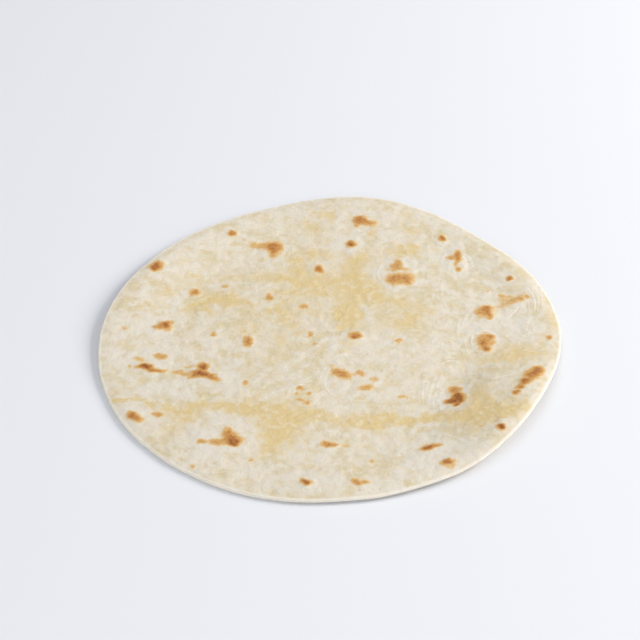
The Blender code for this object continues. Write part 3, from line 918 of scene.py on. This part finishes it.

# %% [markdown]
# ## Crease lines: painted highlight and shade
#
# The mesh says how far each point lies from the nearest crease, with a sign for the side. Between two
# points on either side the value runs through zero, so its size is exactly zero on the crease, and
# the line comes out finer than the mesh. The pale line is a painted highlight on the crease's crest,
# and the thin dark one next to it is painted shade.

# %% Crease lines
# the first row is painted shade beside the crease, the second a painted highlight on its crest
CREASE_SHADE_AND_HIGHLIGHT = (  # how far beside the crease, half width in millimetres, how much it covers, colour
    (0.9, 0.5, 0.4, "#C9B68F"),
    (0.0, 0.7, 0.75, "#F2EEE4"),
)

for name in CREASES:
    away = add_node("ShaderNodeAttribute", attribute_name=name + "_crease_away").outputs["Fac"]
    strong = add_node("ShaderNodeAttribute", attribute_name=name + "_crease_share").outputs["Fac"]
    for beside, half_width, cover, tint in CREASE_SHADE_AND_HIGHLIGHT:
        off = add_node("ShaderNodeMath", {0: away, 1: beside}, operation="SUBTRACT")
        distance = add_node("ShaderNodeMath", {0: off.outputs[0]}, operation="ABSOLUTE")
        line = add_node(
            "ShaderNodeMapRange",
            {"Value": distance.outputs[0], "From Min": half_width, "From Max": 0.0, "To Max": cover},
            interpolation_type="SMOOTHSTEP",
        )
        share = add_node("ShaderNodeMath", {0: line.outputs["Result"], 1: strong}, operation="MULTIPLY")
        skin = add_node(
            "ShaderNodeMix", {0: share.outputs[0], 6: skin, 7: linear(tint)}, data_type="RGBA"
        ).outputs[2]
print("crease lines", [row[1] * 2 for row in CREASE_SHADE_AND_HIGHLIGHT], "mm wide")

# %% [markdown]
# ## Specks
#
# Tiny bubbles leave gold specks of about a millimetre all over the sheet. A Voronoi texture cuts space
# into cells with one point in each, and says how far the nearest point is. A speck is what lies close
# to a point. Each cell also has a random colour, and its first channel picks the few that are toasted.

# %% Specks
SPECK_SPACING = 6.0
SPECK_RADIUS = 0.8
SPECK_FEW = (0.55, 1.0)  # cells with a random number under the first have none, and the last has most
SPECK_COVER = 0.6  # how much of the dough's colour the strongest speck covers
SPECK_COLOUR = "#CFA46A"

cells = add_node("ShaderNodeTexVoronoi", {"Vector": drawn, "Scale": 1 / (SPECK_SPACING * MM)})
speck = add_node(
    "ShaderNodeMapRange",
    {
        "Value": cells.outputs["Distance"],
        "From Min": SPECK_RADIUS / SPECK_SPACING,
        "From Max": SPECK_RADIUS / SPECK_SPACING / 2,
    },
)
lot = add_node("ShaderNodeSeparateColor", {"Color": cells.outputs["Color"]})
chosen = add_node(
    "ShaderNodeMapRange",
    {
        "Value": lot.outputs[0],
        "From Min": SPECK_FEW[0],
        "From Max": SPECK_FEW[1],
        "To Max": SPECK_COVER,
    },
)
share = add_node(
    "ShaderNodeMath", {0: speck.outputs["Result"], 1: chosen.outputs["Result"]}, operation="MULTIPLY"
)
skin = add_node(
    "ShaderNodeMix", {0: share.outputs[0], 6: skin, 7: linear(SPECK_COLOUR)}, data_type="RGBA"
).outputs[2]
print("specks up to", 2 * SPECK_RADIUS, "mm across")

# %% [markdown]
# ## Toast
#
# Toast is not one brown. From the rim of a spot to its core it runs from straw through gold and
# caramel to a dark brown. Flecks of a millimetre or two break it up, the more so the darker it is,
# because the plate only browned what stood up.

# %% Toast
TOAST_RAMP = (
    (0.0, "#E8D8B4"),
    (0.16, "#E6CE9F"),
    (0.34, "#E0BC84"),
    (0.55, "#D4A463"),
    (0.73, "#C2874A"),
    (0.87, "#AD7037"),
    (1.0, "#915726"),
)
DOTS = 0.35  # how much more the flecks change full toast than its rim
DOTS_AT_RIM = 0.45
TOAST_SHOWS = (0.02, 0.38)  # where browning starts to show, and where the dough is covered

toasted = add_node("ShaderNodeAttribute", attribute_name="toast").outputs["Fac"]
reach = add_node("ShaderNodeMath", {0: toasted, 1: DOTS, 2: DOTS_AT_RIM}, operation="MULTIPLY_ADD")
centred = add_node("ShaderNodeMath", {0: patterns["fleck"], 1: 0.5}, operation="SUBTRACT")
browned = add_node(
    "ShaderNodeMath", {0: reach.outputs[0], 1: centred.outputs[0], 2: toasted}, operation="MULTIPLY_ADD"
)
ramp = add_node("ShaderNodeValToRGB", {"Fac": browned.outputs[0]})
for position, _ in TOAST_RAMP[1:-1]:
    ramp.color_ramp.elements.new(position)
for element, (position, colour) in zip(ramp.color_ramp.elements, TOAST_RAMP):
    element.position = position
    element.color = linear(colour)
share = add_node(
    "ShaderNodeMapRange",
    {"Value": browned.outputs[0], "From Min": TOAST_SHOWS[0], "From Max": TOAST_SHOWS[1]},
    interpolation_type="SMOOTHSTEP",
)
skin = add_node(
    "ShaderNodeMix", {0: share.outputs["Result"], 6: skin, 7: ramp.outputs["Color"]}, data_type="RGBA"
).outputs[2]
tree.links.new(skin, shader.inputs["Base Color"])
print("toast from", TOAST_RAMP[0][1], "to", TOAST_RAMP[-1][1])

# %% [markdown]
# ## Surface
#
# Dry dough is matt, with only a faint shine at a glancing angle. A little light goes into it and comes
# out again beside where it went in, which softens every small shadow. The finest relief, too small for
# the mesh, is a bump: flour grains, crumb, mottling and wrinkles, a tenth or two of a millimetre high.

# %% Surface
# height in millimetres of a pattern's whole range, of which it mostly uses the middle half
RELIEF = {"grain": 0.18, "crumb": 0.36, "mottle": 0.37, "wrinkle": 0.12}

shader.inputs["Roughness"].default_value = 0.62
shader.inputs["Specular IOR Level"].default_value = 0.3
shader.inputs["Subsurface Weight"].default_value = 0.25
shader.inputs["Subsurface Radius"].default_value = (1.0, 0.7, 0.45)
shader.inputs["Subsurface Scale"].default_value = 1.0 * MM
height = 0.0
for name, size in RELIEF.items():
    layer = add_node("ShaderNodeMath", {0: patterns[name], 1: size, 2: height}, operation="MULTIPLY_ADD")
    height = layer.outputs[0]
bump = add_node("ShaderNodeBump", {"Height": height, "Strength": 1.0, "Distance": 1.0 * MM})
tree.links.new(bump.outputs["Normal"], shader.inputs["Normal"])
sheet_mesh.materials.append(dough_skin)
print(len(tree.nodes), "nodes in the dough's material")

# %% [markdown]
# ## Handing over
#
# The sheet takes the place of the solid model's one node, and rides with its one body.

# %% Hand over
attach(sheet, "root")
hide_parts("tortilla")
